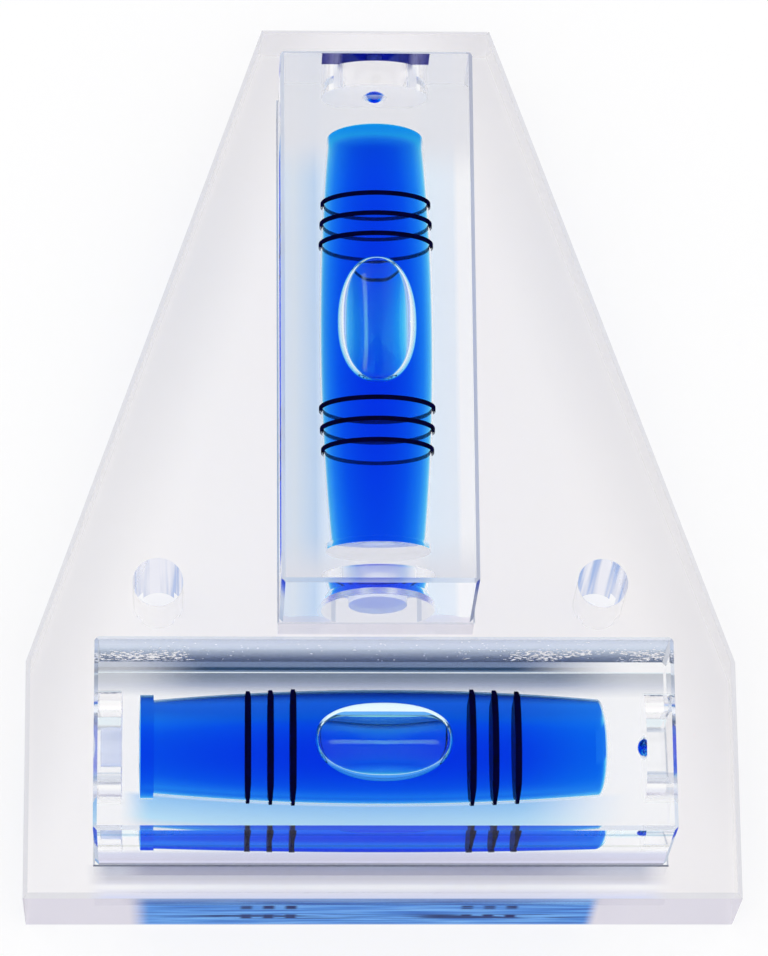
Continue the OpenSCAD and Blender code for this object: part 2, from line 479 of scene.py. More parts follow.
print("holes at", [[round(v / MM, 1) for v in hole.xy] for hole in HOLES], "mm")

# %% [markdown]
# ## The plate
# The plate is one thick moulding. Its rim is a little frosted, because the mould's edge is not
# polished. Its colour carries painted shade: it darkens from left to right and toward its slanted
# sides, its bevels get a painted reflection, its front face is painted darker, and the strip in front
# of the lower vial gets painted shade from the block that stands on it. One material does it all, so
# that the plate stays one clear solid: each tint is laid over the last.

# %% Plate
PLATE_ROUGHNESS = 0.04
# painted shade: the plate darkens from left to right
PLATE_LEFT_LIGHT = (1.0, 0.965, 0.965)
PLATE_RIGHT_SHADE = (0.93, 0.885, 0.885)
# painted shade toward the slanted sides
SLOPE_SHADE = (0.62, 0.6, 0.63)
# painted reflection on the plate's bevels
PLATE_BEVEL_REFLECTION = (0.64, 0.63, 0.67)
# painted shade on the plate's front face
FOOT_SHADE = (0.76, 0.73, 0.8)
RIM_FROST = 0.12
BACK_BEVEL = 1.0 * MM
foot_depth = (plate_low.y - BOX["horizontal_vial_block"][0].y) / MM
# painted shade from the lower block on the strip in front of it
STRIP_SHADE_STEPS = [(foot_depth, (0.5, 0.55, 0.84)), (-1.42, (0.69, 0.69, 0.82)), (-1.22, (0.93, 0.92, 0.95)),
               (-1.1, (0.9, 0.89, 0.93)), (-0.96, (0.57, 0.56, 0.66)), (-0.76, (0.43, 0.42, 0.5)),
               (-0.34, (0.36, 0.38, 0.5)), (0.0, (0.24, 0.27, 0.4))]


def plate_painted_shading(spots, turned_to):
    low, high = BOX["horizontal_vial_block"]
    body = colour_steps(spots[0], 0.0, 1.0, [(plate_low.x, PLATE_LEFT_LIGHT), (plate_high.x, PLATE_RIGHT_SHADE)])
    edge = ease(from_slope(spots), 0.6 * MM, 5.0 * MM, 0.55, 0.0)
    body = mix_colour(edge, body, SLOPE_SHADE)
    body = mix_colour(bevel_mask(turned_to), body, PLATE_BEVEL_REFLECTION)
    streaks = colour_steps(noise(HOLE_STRETCH, 2.0), 0.0, 1.0, HOLE_REFLECTION_BLUES)
    body = mix_colour(hole_mask(spots), body, streaks)
    strip = all_of(between(spots[1], plate_low.y, low.y),
                   ease(spots[0], low.x - 0.6 * MM, low.x + 0.8 * MM),
                   ease(spots[0], high.x - 1.5 * MM, high.x + 0.4 * MM, 1.0, 0.0))
    body = mix_colour(strip, body, colour_steps(spots[1], low.y, MM, STRIP_SHADE_STEPS))
    foot = all_of(more(turned_to[1], 0.9), less(spots[1], plate_low.y + HAIR))
    body = mix_colour(foot, body, FOOT_SHADE)
    band = all_of(foot, ease(spots[0], BAND_START - 0.5 * MM, BAND_START + 0.7 * MM),
                  ease(spots[0], BAND_END - 0.3 * MM, BAND_END + 0.4 * MM, 1.0, 0.0))
    return mix_colour(band, body, band_colour(spots))


def plate_hidden(spots, turned_to):
    """Glued faces, and the bevel round the back, which lies on the table."""
    low = less(spots[2], plate_low.z + BACK_BEVEL)
    return any_of(glued_mask(spots), all_of(bevel_mask(turned_to), low))


def plate_frost(spots, turned_to):
    return times(less(turned_to[2], BEVEL_TURN), RIM_FROST)


plate = frame["nodes"]["base_plate"]
plate.data.materials[0] = acrylic("plate_acrylic", PLATE_ROUGHNESS, plate_hidden, plate_painted_shading, plate_frost)
print("the foot reaches", round(-foot_depth, 2), "mm in front of the lower vial")

# %% [markdown]
# ## The tints of the vial blocks
# A block is a machined square bar, so its faces are clearer than the plate's. Its edges are broken
# by a narrow bevel, which catches the surroundings as a fine line of painted reflection, with painted
# shade on the upper block's right bevel, and the dimple in its closed end gets the liquid's blue as
# painted refraction. The lower block's near wall gets painted shade at its foot and two thin lines,
# and on the upper one a fillet of glue has crept up it. Each is a tint by place, so the solid stays
# whole.

# %% Block tints
CLEAR_TINT = (0.985, 0.988, 0.992)
# painted reflection of the surroundings in the bevels
EDGE_REFLECTION_TINT = (0.6, 0.66, 0.77)
# painted shade on the upper block's right bevel
RIGHT_EDGE_SHADE = (0.3, 0.33, 0.45)
# painted refraction: the liquid's blue in the dimple of the closed end
DIMPLE_BLUE_REFRACTION = (0.3, 0.38, 0.72)
DIMPLE_REACH = 0.7 * MM
CLOSED_END = 4.0 * MM
FILLET = 1.3 * MM
FILLET_TINT = (0.9, 0.87, 0.92)
# painted shade at the foot of the lower block's near wall, and two thin lines
NEAR_WALL_SHADE_AND_LINES = [(0.0, (0.3, 0.31, 0.38)), (0.2, (0.4, 0.41, 0.5)), (0.5, (0.82, 0.82, 0.98)),
                   (1.0, (0.72, 0.71, 0.84)), (2.2, (0.74, 0.76, 0.9)), (3.0, WHITE), (3.5, WHITE),
                   (3.75, (0.78, 0.8, 0.75)), (4.0, WHITE), (5.6, WHITE), (5.9, (0.5, 0.68, 0.8)),
                   (6.2, WHITE)]


def fillet_mask(vial, spots):
    """1 where glue has crept up the foot of the near wall, with a ragged edge."""
    edge = ease(noise(900.0, 3.0), 0.3, 0.7, plate_face + 0.7 * FILLET, plate_face + 1.2 * FILLET)
    near = less(spots[1], BOX[vial + "_vial_block"][0].y + HAIR)
    return all_of(near, less(spots[2], edge))


def block_tint_and_shading(vial, spots, turned_to):
    low, high = BOX[vial + "_vial_block"]
    along = ALONG[vial]
    bevel = bevel_mask(turned_to)
    body = mix_colour(bevel, CLEAR_TINT, EDGE_REFLECTION_TINT)
    dimple = all_of(within(spots, (1 - along, 2), MIDDLE[vial], DIMPLE_REACH),
                    more(spots[along], high[along] - CLOSED_END))
    body = mix_colour(dimple, body, DIMPLE_BLUE_REFRACTION)
    if vial == "vertical":
        right = all_of(bevel, more(spots[0], high.x - 0.3 * MM))
        body = mix_colour(right, body, RIGHT_EDGE_SHADE)
        return mix_colour(fillet_mask(vial, spots), body, FILLET_TINT)
    near = less(spots[1], low.y + HAIR)
    return mix_colour(near, body, colour_steps(spots[2], plate_face, MM, NEAR_WALL_SHADE_AND_LINES))


print("near wall tinted in", len(NEAR_WALL_SHADE_AND_LINES), "steps")

# %% [markdown]
# ## Frosted ends and shaded reflections
# The recesses in a block's ends are a little frosted, and round the upper vial's plug quite soft.
# Inside a block the far wall mirrors what lies below it, and painted shade is laid into that mirror:
# grey behind the lower vial, and deep navy over the recess of the upper one. The path tracer finds
# that mirror by itself, and the tinted Glass in the acrylic paints the shade into it.

# %% Frost and reflections
END_FROST = 0.07
SOFT_FROST = 0.35
RECESS_REACH = 3.1 * MM
NEAR_RECESS = 2.4 * MM
NAVY_HALF = 2.8 * MM
NAVY_DROP = 3.0 * MM
block_rise = (BOX["horizontal_vial_block"][1].z - plate_face) / MM
# painted shade in the far wall's mirror behind the lower vial
FAR_WALL_SHADE_STEPS = [(0.0, (0.22, 0.27, 0.38)), (1.1, (0.29, 0.34, 0.45)), (2.0, (0.43, 0.49, 0.6)),
                  (2.9, (0.53, 0.6, 0.7)), (3.7, (0.68, 0.75, 0.86)), (4.6, (0.74, 0.8, 0.91)),
                  (6.3, (0.62, 0.67, 0.77)), (block_rise, (0.55, 0.6, 0.68))]
# painted navy shade in the mirror over the upper vial's recess
NAVY_SHADE_STEPS = [(0.0, (0.06, 0.08, 0.36)), (1.7, (0.02, 0.025, 0.22)), (2.0, (0.2, 0.2, 0.4)),
              (2.8, (0.05, 0.05, 0.28))]


def end_frost(vial, spots, turned_to):
    """Moulded recesses and bevelled edges are a little frosted."""
    recess = within(spots, (1 - ALONG[vial], 2), MIDDLE[vial], RECESS_REACH)
    bevel = bevel_mask(turned_to)
    fine = times(any_of(recess, bevel), END_FROST)
    if vial == "horizontal":
        return fine
    near = less(spots[1], BOX[vial + "_vial_block"][0].y + NEAR_RECESS)
    soft = any_of(all_of(recess, near), bevel, fillet_mask(vial, spots))
    return calc("MAXIMUM", fine, times(soft, SOFT_FROST))


def far_mirror_shade(vial, spots):
    """Painted shade in the total reflection: grey up the lower vial's far wall, navy over a recess."""
    high = BOX[vial + "_vial_block"][1]
    wall = more(spots[1], high.y - HAIR)
    if vial == "horizontal":
        wall = all_of(wall, more(spots[2], plate_face))
        return wall, colour_steps(spots[2], plate_face, MM, FAR_WALL_SHADE_STEPS)
    away = apart(spots[0], MIDDLE[vial].x)
    over_recess = all_of(wall, less(away, NAVY_HALF), more(spots[2], high.z - NAVY_DROP))
    return over_recess, colour_steps(away, 0.0, MM, NAVY_SHADE_STEPS)


print("blocks rise", round(block_rise, 2), "mm over the plate")

# %% [markdown]
# ## The blocks, and specks of glue on one
# Glue that has crept up the lower block's far wall wets the acrylic in specks, which don't mirror,
# so each is a hole in the reflection. Modelling them one by one would take long. Fine noise over a
# level makes the specks, and broad noise moves that level to gather them near the two ends.

# %% Blocks
BLOCK_ROUGHNESS = 0.02
SPECK_GRAIN = 4200.0
SPECK_PATCH = 260.0
SPECK_LEVEL = 0.72
SPECK_GAIN = 0.2


def speck_mask(vial, spots):
    """1 on specks of glue on the wall that faces away from the foot."""
    middle = MIDDLE[vial].x
    wall = more(spots[1], BOX[vial + "_vial_block"][1].y - HAIR)
    ends = any_of(ease(spots[0], middle + 3.5 * MM, middle + 5.5 * MM),
                  ease(spots[0], middle - 9.0 * MM, middle - 10.5 * MM))
    reach = ease(spots[2], plate_face + 2.2 * MM, plate_face + 4.2 * MM, 1.0, 0.0)
    patches = ease(noise(SPECK_PATCH, 1.0), 0.35, 0.5)
    amount = all_of(wall, ends, reach, patches)
    level = minus(SPECK_LEVEL, times(amount, SPECK_GAIN))
    return all_of(wall, more(noise(SPECK_GRAIN, 2.0), level))


def block_hidden(vial, spots, turned_to):
    """The parts of a block that sit in the pocket, hold liquid or are wet with glue."""
    masks = [less(spots[2], plate_face), wet_mask(vial, spots)]
    if vial == "horizontal":
        masks.append(speck_mask(vial, spots))
    return any_of(*masks)


for vial in ALONG:
    block = frame["nodes"][vial + "_vial_block"]
    looks = [partial(look, vial) for look in (block_hidden, block_tint_and_shading, end_frost, far_mirror_shade)]
    block.data.materials[0] = acrylic(vial + "_vial_acrylic", BLOCK_ROUGHNESS, *looks)
    print("acrylic on the", vial, "block")

# %% [markdown]
# ## The plugs
# A plug is a small moulded disc with a pip, cemented in the filling end of the bore. It is cloudier
# than the block, and the lower plug is painted with some of the liquid's blue light. A volume that
# scatters would be the true way to cloud it, but it is slow and grainy, so a share of plain milky
# white is mixed in instead.

# %% Plugs
def each(lower, upper):
    """One value for the lower, horizontal vial and one for the upper, vertical one."""
    return dict(zip(ALONG, (lower, upper)))


# the lower plug's tint is painted blue light from the liquid; the upper one keeps the clear tint
PLUG_TINT_AND_BLUE_LIGHT = each((0.75, 0.81, 0.95), CLEAR_TINT)
PLUG_MILK = each(0.35, 0.75)

for vial in ALONG:
    plug = frame["nodes"][vial + "_vial_plug"]
    plug.data.materials[0] = acrylic(vial + "_plug_acrylic", BLOCK_ROUGHNESS, partial(wet_mask, vial),
                                     PLUG_TINT_AND_BLUE_LIGHT[vial], partial(end_frost, vial), milk=PLUG_MILK[vial])
    print("milky acrylic on the", vial, "plug")

# %% [markdown]
# ## The black rings
# Each ring is paint wiped into a groove in the bore. It is nearly black with a blue cast, and
# matt, so the shader's own gloss is turned off and a fine grain varies its tone. The paint fills
# the groove at the top and thins out down the sides. The ring solids keep one width, so the taper
# is a mask that leaves the rest of the groove clear.

# %% Rings
RING_RADIUS = 2.9 * MM
RING_TOP_HALF = each(0.18 * MM, 0.115 * MM)
RING_TAPER = [(-1.0, 0.75), (-0.5, 0.75), (-0.28, 0.4), (0.3, 0.5), (0.6, 0.8), (0.9, 1.0)]
RING_LOW_HALF = 0.1 * MM
RING_LOW_CLEAR = 0.4
RING_SHIFT = each(0.0, -0.05 * MM)
INK_TONES = ((0.0002, 0.0002, 0.015), (0.0006, 0.0004, 0.04))


def half_width(vial, height):
    """Half the width of the paint at a height: the lower vial's rings swell and taper more."""
    full = RING_TOP_HALF[vial] + HAIR
    axis = MIDDLE[vial].z
    if vial == "vertical":
        return ease(height, axis - 0.6 * RING_RADIUS, axis + 0.95 * RING_RADIUS, RING_LOW_HALF, full)
    taper = [(spot, (share,) * 3) for spot, share in RING_TAPER]
    return times(colour_steps(height, axis, RING_RADIUS, taper), full)


def ring_ink(vial):
    material = new_material(vial + "_ring_ink")
    spots = place()
    along = ALONG[vial]
    axis = MIDDLE[vial].z
    tone = mix_colour(noise(2500.0, 2.0), *INK_TONES)
    ink = shader("Principled", {"Roughness": 0.7, "Specular IOR Level": 0.0, "Base Color": tone})
    nearest = 1.0
    for name in RINGS[vial]:
        middle = centre(name)[along] + RING_SHIFT[vial]
        nearest = calc("MINIMUM", nearest, apart(spots[along], middle))
    thin = ease(spots[2], axis, axis - 0.3 * RING_RADIUS, 0.0, RING_LOW_CLEAR)
    bare = any_of(thin, more(nearest, half_width(vial, spots[2])))
    output(Surface=mix_shader(bare, ink, shader("Transparent")))
    return material


for vial in ALONG:
    ink = ring_ink(vial)
    for name in RINGS[vial]:
        frame["nodes"][name].data.materials[0] = ink
    print("ink on", len(RINGS[vial]), vial, "rings")

# %% [markdown]
# ## The shape of the liquid
# The bore is a barrel: its wall is an arc turned about the vial's axis, and its closed end is a
# shallow dome with a round shoulder. The acrylic magnifies it, so the CAD solid would show its
# facets. Here it is a fine turned mesh instead: a list of radii along the axis, swept round in many
# steps. It stays a hair inside the wall, so that the two never touch.

# %% Liquid shape
BARREL_D = 5.95 * MM
BARREL_END_D = 4.9 * MM
WALL_GAP = 0.02 * MM
SEAT_D = 5.4 * MM
SEAT_STEP = 0.75 * MM
LID_BEVEL = 0.05 * MM
LID_INSET = 0.25 * MM
LID_SET = each(0.0, 0.35 * MM)  # how far cement stands in from the plug
END_DOME = 0.55 * MM
DOME_POWER = 2.5
DOME_ROOT = 0.6
DOME_SHARES = (0.997, 0.99, 0.975, 0.95, 0.91, 0.85, 0.76, 0.64, 0.5, 0.34, 0.17, 0.04)
STATIONS = 60
LIQUID_START = BOX["horizontal_liquid"][0].x - MIDDLE["horizontal"].x
LIQUID_END = BOX["horizontal_liquid"][1].x - MIDDLE["horizontal"].x
BARREL_SAG = (BARREL_D - BARREL_END_D) / 2
ARC_RADIUS = ((LIQUID_END + WALL_GAP) ** 2 + BARREL_SAG ** 2) / (2 * BARREL_SAG)


def bore_radius(x):
    return math.sqrt(ARC_RADIUS ** 2 - x * x) - ARC_RADIUS + BARREL_D / 2


def liquid_profile(vial):
    """(x, radius) from the plug to the middle of the closed end."""
    start = LIQUID_START + LID_SET[vial]
    step_x = LIQUID_START - WALL_GAP + SEAT_STEP
    seat_r = SEAT_D / 2 - WALL_GAP
    points = [(start, seat_r - LID_INSET), (start + LID_BEVEL, seat_r), (step_x, seat_r)]
    corner = LIQUID_END - END_DOME
    for station in range(STATIONS + 1):
        x = step_x + (corner - step_x) * station / STATIONS
        points.append((x, bore_radius(x) - WALL_GAP))
    edge = bore_radius(corner) - WALL_GAP
    for share in DOME_SHARES:
        points.append((corner + END_DOME * (1 - share ** DOME_POWER) ** DOME_ROOT, edge * share))
    return points


print("the wall's arc has a radius of", round(ARC_RADIUS / MM, 1), "mm")

# %% [markdown]
# ## Turning a solid
# A lathe turns a profile about an axis, and so does this: each radius becomes a hoop of corners,
# and quads join the hoops. A Screw modifier could do it too, but corners made here are already in
# the CAD frame.

# %% Turned solids
TURNS = 160


def from_vial(vial, x, y, z):
    """A point given along the vial, across it and up, in the CAD frame."""
    if ALONG[vial] == 0:
        return MIDDLE[vial] + Vector((x, y, z))
    return MIDDLE[vial] + Vector((-y, x, z))


def link_mesh(name, shape, material, smooth=True):
    mesh = bpy.data.meshes.new(name)
    bmesh.ops.recalc_face_normals(shape, faces=shape.faces)
    shape.to_mesh(mesh)
    shape.free()
    for polygon in mesh.polygons:
        polygon.use_smooth = smooth
    mesh.materials.append(material)
    piece = bpy.data.objects.new(name, mesh)
    bpy.context.scene.collection.objects.link(piece)
    return piece


def turned_solid(name, vial, profile, material):
    """A closed solid of revolution about the vial's axis."""
    shape = bmesh.new()
    hoops = []
    for x, radius in profile:
        hoop = []
        for turn in range(TURNS):
            angle = 2 * math.pi * turn / TURNS
            corner = from_vial(vial, x, radius * math.cos(angle), radius * math.sin(angle))
            hoop.append(shape.verts.new(corner))
        hoops.append(hoop)
    for near, far in zip(hoops, hoops[1:]):
        for turn in range(TURNS):
            after = (turn + 1) % TURNS
            shape.faces.new((near[turn], near[after], far[after], far[turn]))
    shape.faces.new(hoops[0])
    shape.faces.new(hoops[-1])
    return link_mesh(name, shape, material)


print("a turned solid has", TURNS, "corners round")

# %% [markdown]
# ## The blue of the liquid
# Dyed spirit takes red and green out of light along its way, so thin edges look paler than the
# middle, and a volume absorption does the same. On the real object the table under a vial is lit
# through the liquid too, so light passes the dye twice. The soft light here doesn't, so painted shade
# tints the lower half of the skin as well. More painted shade and light vary the skin: deeper at the
# back of the lower vial, lighter there for slanting rays and paler at its closed end, and a fuller
# blue on the upper vial's dome. Layer Weight tells slanting rays from those straight down.

# %% Liquid shades
# painted shade on the skin, for light that would cross the dye twice
SPIRIT_SHADE_STEPS = [(0.0, WHITE), (0.12, (0.45, 0.88, 0.99)), (0.25, (0.22, 0.68, 0.98)),
                (0.5, (0.06, 0.36, 0.95)), (0.75, (0.015, 0.17, 0.91)), (1.0, (0.005, 0.075, 0.87))]
# painted shade on the back of the lower vial's upper skin
BACK_SHADE_STEPS = [(0.6, WHITE), (0.69, WHITE), (0.8, (0.4, 0.6, 0.85)), (0.95, (0.3, 0.5, 0.7)),
              (1.0, (0.6, 0.7, 0.8))]
# painted shade and light on the lower vial's skin, and painted shade on the upper vial's dome
DEEP_BLUE_SHADE = (0.05, 0.2, 0.78)
LIFT_BLUE_LIGHT = (0.06, 0.3, 0.95)
PALE_BLUE_LIGHT = (0.02, 0.35, 0.95)
DOME_BLUE_SHADE = (0.09, 0.65, 1.0)


def lower_shade(spots, below, shade):
    """Painted shade and light on the lower vial: deeper at the back, lighter for slanting light,
    paler at its closed end.
    """
    behind = calc("DIVIDE", minus(spots[1], MIDDLE["horizontal"].y), BARREL_D / 2)
    slant = add("ShaderNodeLayerWeight", {"Blend": 0.5}).outputs["Facing"]
    deep = all_of(ease(behind, 0.5, 0.75), ease(slant, 0.03, 0.12))
    shade = mix_colour(deep, shade, DEEP_BLUE_SHADE, "DARKEN")
    lift = all_of(ease(behind, -0.2, -0.1), ease(behind, 0.5, 0.4),
                  ease(slant, 0.07, 0.2), more(below, 0.0))
    shade = mix_colour(lift, shade, LIFT_BLUE_LIGHT)
    closed_end = MIDDLE["horizontal"].x + LIQUID_END
    outward = ease(spots[0], closed_end - 5.0 * MM, closed_end, 0.0, 0.5)
    shade = mix_colour(outward, shade, PALE_BLUE_LIGHT, "LIGHTEN")
    return mix_colour(less(below, 0.0), shade, colour_steps(behind, 0.0, 1.0, BACK_SHADE_STEPS))


def upper_shade(spots, below, shade):
    """Painted shade on the upper vial: a fuller blue on the dome of its closed end."""
    inward = minus(MIDDLE["vertical"].y + LIQUID_END, spots[1])
    return mix_colour(ease(inward, 1.2 * MM, 0.4 * MM), shade, DOME_BLUE_SHADE, "DARKEN")


SPIRIT_SHADES = each(lower_shade, upper_shade)
print("skin tinted in", len(SPIRIT_SHADE_STEPS), "steps from the axis down")

# %% [markdown]
# ## The liquid
# Spirit bends light a little less than acrylic, so the wall of the bore is almost lost. The index
# of the Glass shader is a ratio, because there is acrylic and not air outside the liquid. The face
# against the plug mirrors more in the photograph, so the liquid's lid has a lower index.

# %% Liquid
LIQUID_IOR = 1.46
LID_IOR = 1.34
ABSORPTION_DENSITY = 473.0  # per metre, for the colour that is absorbed most
ABSORPTION_COLOUR = (0.0, 0.717, 0.985)
SHARP_ANGLE = math.radians(30)


def blue_spirit(vial):
    material = new_material(vial + "_blue_spirit")
    spots = place()
    along = ALONG[vial]
    below = calc("DIVIDE", minus(MIDDLE[vial].z, spots[2]), BARREL_D / 2)
    shade = SPIRIT_SHADES[vial](spots, below, colour_steps(below, 0.0, 1.0, SPIRIT_SHADE_STEPS))
    skin = shader("Glass", {"Roughness": 0.0, "IOR": LIQUID_IOR / ACRYLIC_IOR, "Color": shade})
    lid = shader("Glass", {"Roughness": 0.0, "IOR": LID_IOR / ACRYLIC_IOR})
    lid_end = MIDDLE[vial][along] + LIQUID_START + LID_SET[vial] + LID_BEVEL
    at_lid = less(spots[along], lid_end + HAIR)
    body = add("ShaderNodeVolumeAbsorption",
               {"Color": ABSORPTION_COLOUR, "Density": ABSORPTION_DENSITY})
    output(Surface=mix_shader(at_lid, skin, lid), Volume=body.outputs[0])
    return material


for vial in ALONG:
    liquid = turned_solid(vial + "_spirit", vial, liquid_profile(vial), blue_spirit(vial))
    liquid.data.set_sharp_from_angle(angle=SHARP_ANGLE)
    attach(liquid, "level")
    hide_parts(vial + "_liquid")
    print(liquid.name, len(liquid.data.vertices), "vertices")

# %% [markdown]
# ## The shape of a bubble
# An air bubble is pressed against the top of the bore, with only a film of liquid between them. Its
# top follows the wall, its rim turns down in a tight curve, and its underside is a shallow bowl. A
# squashed sphere would be quick, but too round at the rim to mirror as a fine line. So it is drawn
# from the middle outwards in oblong rings. Its sides keep off the wall, which narrows as it runs.

# %% Bubble shape
BUBBLE_LENGTH = 6.95 * MM
BUBBLE_WIDTH = 4.1 * MM
BUBBLE_HEIGHT = 2.35 * MM
BUBBLE_RIM = 0.3 * MM
BUBBLE_DROP = 0.5 * MM
FILM = 0.06 * MM
SIDE_EASE = 0.09 * MM
OUTLINE_POWER = 2.2
BOWL_POWER = 1.9
BOWL_END_POWER = 1.3


def bubble_top(share, angle, rest):
    """A point of the top at a share of the way from its middle to its rim."""
    length = math.cos(angle)
    width = math.sin(angle)
    reach = (abs(length) ** OUTLINE_POWER + abs(width) ** OUTLINE_POWER) ** (-1 / OUTLINE_POWER)
    rim_x = BUBBLE_LENGTH / 2 * reach * length
    rim_y = BUBBLE_WIDTH / 2 * reach * width
    x = rim_x * share + rest
    y = rim_y * share
    fall = max(0.0, 1 - (1 - share) * math.hypot(rim_x, rim_y) / BUBBLE_RIM)
    drop = BUBBLE_DROP * (1 - math.sqrt(max(0.0, 1 - fall * fall)))
    ease_off = SIDE_EASE * (2 * y / BUBBLE_WIDTH) ** 2
    return x, y, math.sqrt((bore_radius(x) - FILM) ** 2 - y * y) - ease_off - drop


def bubble_point(share, angle, rest, under):
    """A point of the top, or of the bowl under it."""
    x, y, z = bubble_top(share, angle, rest)
    if under:
        lowest = bore_radius(rest) - FILM - BUBBLE_HEIGHT
        rim = bubble_top(1.0, angle, rest)[2]
        power = BOWL_POWER + (BOWL_END_POWER - BOWL_POWER) * math.cos(angle) ** 2
        z = lowest + (rim - lowest) * share ** power
    return x, y, z


print("a bubble is", round(BUBBLE_LENGTH / MM, 2), "mm long")

# %% [markdown]
# ## The mesh of a bubble
# The rings are joined row by row, with triangles at the middle and quads outside them. The top and
# the bowl share their last row, so the skin closes without doubled corners. That matters for glass:
# a gap or a doubled wall would bend the light where there is nothing.

# %% Bubble mesh
BUBBLE_ROWS = 36
BUBBLE_TURNS = 120
BUBBLE_NUDGE = each(0.0, -0.25 * MM)


def bubble_mesh(name, vial, material):
    rest = (centre(vial + "_bubble") - MIDDLE[vial])[ALONG[vial]] + BUBBLE_NUDGE[vial]
    shape = bmesh.new()
    rim = None
    for under in (False, True):
        middle = shape.verts.new(from_vial(vial, *bubble_point(0.0, 0.0, rest, under)))
        inner = [middle] * BUBBLE_TURNS
        for row in range(1, BUBBLE_ROWS + 1):
            share = math.sin(math.pi / 2 * row / BUBBLE_ROWS)
            outer = rim if row == BUBBLE_ROWS else None
            if outer is None:
                outer = []
                for turn in range(BUBBLE_TURNS):
                    point = bubble_point(share, 2 * math.pi * turn / BUBBLE_TURNS, rest, under)
                    outer.append(shape.verts.new(from_vial(vial, *point)))
            for turn in range(BUBBLE_TURNS):
                after = (turn + 1) % BUBBLE_TURNS
                corners = [inner[turn], outer[turn], outer[after]]
                if row > 1:
                    corners.append(inner[after])
                shape.faces.new(corners)
            inner = outer
        rim = inner
    return link_mesh(name, shape, material)


print("a bubble is drawn in", 2 * BUBBLE_ROWS, "rows")

# %% [markdown]
# ## The light in a bubble
# The rim of a bubble mirrors the light around it, its bowl shows the thin streak of a lamp, and the
# far rim of the lower one is almost white. The true mirror images depend on a studio that isn't
# known, so they are painted: a Fresnel node finds where the skin mirrors, and plain shaders turned
# up to the sky go there as painted reflections, with a painted highlight for the streak and painted
# blue and violet in the skin.

# %% Bubble light
STREAK_SHARE = 0.28
# painted highlight: the colours of the lamp's streak
STREAK_HIGHLIGHT = each((0.42, 0.54, 1.0), (0.5, 0.36, 1.0))
STREAK_PLACE = each(0.25 * MM, -0.8 * MM)
STREAK_BEND = each(38.0, 0.0)
# painted reflection blue on a rim, and painted violet in the light through the upper bubble
NEAR_RIM_REFLECTION_BLUE = (0.1, 0.4, 0.97)
ASIDE_VIOLET_REFRACTION = (0.8, 0.78, 1.0)
# painted reflections: a blue edge and a white line on the far rim
RIM_REFLECTION_LINES = ((0.12, (0.15, 0.45, 0.9)), (TOTAL_SHARE, (0.92, 1.0, 1.0)))


def highlight_streak_mask(vial, spots):
    """A painted highlight: a lamp's thin streak along the underside of the bubble."""
    along = ALONG[vial]
    off_middle = minus(spots[along], centre(vial + "_bubble")[along])
    bend = times(times(off_middle, off_middle), STREAK_BEND[vial])
    line = MIDDLE[vial][1 - along] + STREAK_PLACE[vial]
    off_line = calc("ABSOLUTE", calc("ADD", minus(spots[1 - along], line), bend))
    return all_of(ease(off_line, 0.05 * MM, 0.2 * MM, STREAK_SHARE, 0.0),
                  ease(calc("ABSOLUTE", off_middle), 2.4 * MM, 3.2 * MM, 1.0, 0.0),
                  less(spots[2], MIDDLE[vial].z + 1.9 * MM))


def air_painted_tone(vial, spots, total, through):
    """Painted light: blue in the mirror of the lower bubble's near rim, violet beside the upper one's
    middle.
    """
    if vial == "horizontal":
        near = ease(spots[1], MIDDLE[vial].y - 0.6 * MM, MIDDLE[vial].y - 1.6 * MM)
        return mix_colour(all_of(total, near), WHITE, NEAR_RIM_REFLECTION_BLUE)
    aside = ease(apart(spots[0], MIDDLE[vial].x), 0.9 * MM, 1.6 * MM)
    return mix_colour(all_of(through, aside), WHITE, ASIDE_VIOLET_REFRACTION)


def far_rim(spots, ior, upward, skin):
    """A painted reflection on the lower bubble's far rim: a white line with a blue edge."""
    middle = MIDDLE["horizontal"]
    here = all_of(ease(spots[1], middle.y + 0.7 * MM, middle.y + 1.1 * MM),
                  more(spots[2], middle.z + 1.5 * MM))
    for least, colour in RIM_REFLECTION_LINES:
        line = shader("Principled", {"Base Color": colour, "Roughness": 0.3, "Metallic": 1.0,
                                     "Normal": upward})
        skin = mix_shader(all_of(total_reflection(ior, least), here), skin, line)
    return skin


print("far rim drawn as", len(RIM_REFLECTION_LINES), "lines")

# %% [markdown]
# ## The bubbles
# Air absorbs nothing, but the bubble's mesh lies inside the liquid's, and their volumes add up. So
# the bubble's absorption is turned round and gives back what the liquid would have taken, with a
# little more green as painted light, because less liquid lies under it. Each bubble rides on the
# body of its own name, so that it moves with the joint.

# %% Bubbles
# painted light: the extra green that a bubble gives back
BUBBLE_GLOW = each(0.3, 0.6)  # the extra green


def air(vial):
    material = new_material(vial + "_air_bubble")
    spots = place()
    ior = 1.0 / LIQUID_IOR
    total = total_reflection(ior)
    through = minus(1.0, total)
    looks = {"Roughness": 0.0, "IOR": ior, "Color": air_painted_tone(vial, spots, total, through)}
    skin = mix_shader(times(through, CALM_SHARE), shader("Glass", looks), shader("Refraction", looks))
    upward = add("ShaderNodeCombineXYZ", {"Y": -0.17, "Z": 0.985}).outputs[0]
    if vial == "horizontal":
        skin = far_rim(spots, ior, upward, skin)
    lit = shader("Principled", {"Base Color": STREAK_HIGHLIGHT[vial], "Roughness": 0.6,
                                "Specular IOR Level": 0.0, "Normal": upward})
    skin = mix_shader(highlight_streak_mask(vial, spots), skin, lit)
    red, green, blue = [2 - share for share in ABSORPTION_COLOUR]
    undo = add("ShaderNodeVolumeAbsorption",
               {"Color": (red, green + BUBBLE_GLOW[vial], blue), "Density": ABSORPTION_DENSITY})
    output(Surface=skin, Volume=undo.outputs[0])
    return material


